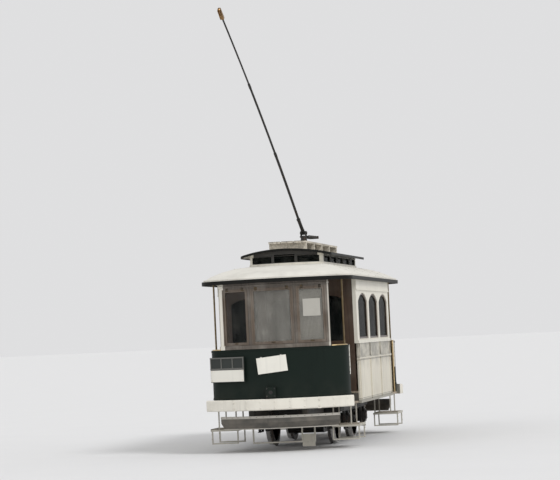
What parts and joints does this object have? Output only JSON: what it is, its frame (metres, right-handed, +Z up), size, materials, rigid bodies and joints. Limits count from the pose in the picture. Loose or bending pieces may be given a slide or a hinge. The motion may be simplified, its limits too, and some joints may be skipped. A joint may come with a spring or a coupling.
{
  "type": "vintage tram",
  "caption": "Small double-ended electric tram on a single truck: closed saloon, open bowed platforms with windscreens, clerestory roof with walkway and a sprung trolley pole.",
  "frame": {"origin": "midway between the two axles and the two rails, at the lowest point of the wheel flanges (20 mm below rail top)", "axes": "+Z up, Y along the tram with the front at -Y, X across"},
  "size_m": [2.49, 7.4726, 7.118],
  "materials": {
    "wheel_iron": "worn, dusty",
    "axle_steel": "oily",
    "truck_iron": "matt black, dusty",
    "cast_truck": "rough cast",
    "spring_steel": "dull",
    "sill_timber": "dark painted timber",
    "floor_timber": "worn boards",
    "panel_green": "dark varnished paint",
    "cream_timber": "off-white paint",
    "cream_iron": "off-white paint",
    "varnished_timber": "varnished",
    "screen_timber": "varnished",
    "glass": "clear",
    "roof_canvas": "painted canvas over boards",
    "clerestory_timber": "off-white paint",
    "walk_timber": "weathered",
    "brass": "polished by hands",
    "apron_iron": "dusty black",
    "step_iron": "light paint, worn",
    "control_iron": "black enamel",
    "trolley_iron": "dark paint",
    "trolley_bronze": "dull bronze"
  },
  "bodies": {
    "car": {"truck_frames": "truck_iron", "truck_transoms": "truck_iron", "platform_bearers": "truck_iron", "axle_boxes": "cast_truck", "axle_box_pads": "cast_truck", "motors": "cast_truck", "brake_rigging": "cast_truck", "leaf_springs": "spring_steel", "coil_springs": "spring_steel", "side_sills": "sill_timber", "cross_bearers": "sill_timber", "saloon_floor": "floor_timber", "platform_floors": "floor_timber", "dashes": "panel_green", "letterboards": "cream_timber", "window_frames": "cream_timber", "waist_panels": "cream_timber", "bumpers": "cream_iron", "side_sashes": "varnished_timber", "bulkheads": "varnished_timber", "benches": "varnished_timber", "windscreen_sashes": "varnished_timber", "windscreen_front": "screen_timber", "windscreen_rear": "screen_timber", "side_glass": "glass", "bulkhead_glass": "glass", "clerestory_glass": "glass", "windscreen_glass": "glass", "lower_roof": "roof_canvas", "clerestory_roof": "roof_canvas", "clerestory_frame": "clerestory_timber", "roof_walk": "walk_timber", "dash_rails": "brass", "stanchions": "brass", "aprons": "apron_iron", "steps": "step_iron", "controllers": "control_iron", "hand_brakes": "control_iron", "trolley_base": "trolley_iron"},
    "wheelset_front": {"wheels_front": "wheel_iron", "axle_front": "axle_steel"},
    "wheelset_rear": {"wheels_rear": "wheel_iron", "axle_rear": "axle_steel"},
    "trolley_head": {"trolley_swivel": "trolley_iron", "trolley_springs": "trolley_iron"},
    "pole": {"trolley_pole": "trolley_iron", "trolley_harp": "trolley_bronze"},
    "contact_wheel": {"trolley_wheel": "trolley_bronze"},
    "sliding_door_front": {"door_front": "varnished_timber", "door_glass_front": "glass"},
    "sliding_door_rear": {"door_rear": "varnished_timber", "door_glass_rear": "glass"},
    "gate_front": {"lifeguard_gate_front": "step_iron"},
    "gate_rear": {"lifeguard_gate_rear": "step_iron"}
  },
  "joints": [
    {"name": "wheelset_front_spin", "type": "hinge", "parent": "car", "child": "wheelset_front", "pos_m": [0, -0.9, 0.4], "axis": [1, 0, 0], "continuous": true},
    {"name": "wheelset_rear_spin", "type": "hinge", "parent": "car", "child": "wheelset_rear", "pos_m": [0, 0.9, 0.4], "axis": [1, 0, 0], "continuous": true},
    {"name": "trolley_turn", "type": "hinge", "parent": "car", "child": "trolley_head", "pos_m": [0, 0, 3.55], "axis": [0, 0, 1], "range_deg": [-180, 180]},
    {"name": "pole_raise", "type": "hinge", "parent": "trolley_head", "child": "pole", "pos_m": [0, 0, 3.65], "axis": [-0.9934, 0.1149, 0], "range_deg": [-34, 35]},
    {"name": "contact_wheel_spin", "type": "hinge", "parent": "pole", "child": "contact_wheel", "pos_m": [-0.46753, -4.04074, 7.0632], "axis": [0.9934, -0.1149, 0], "continuous": true},
    {"name": "door_front_slide", "type": "slide", "parent": "car", "child": "sliding_door_front", "axis": [1, 0, 0], "range_m": [0, 0.7]},
    {"name": "door_rear_slide", "type": "slide", "parent": "car", "child": "sliding_door_rear", "axis": [-1, 0, 0], "range_m": [0, 0.7]},
    {"name": "gate_front_swing", "type": "hinge", "parent": "car", "child": "gate_front", "pos_m": [0, -2.7, 0.5], "axis": [1, 0, 0], "range_deg": [0, 40]},
    {"name": "gate_rear_swing", "type": "hinge", "parent": "car", "child": "gate_rear", "pos_m": [0, 2.7, 0.5], "axis": [-1, 0, 0], "range_deg": [0, 40]}
  ]
}
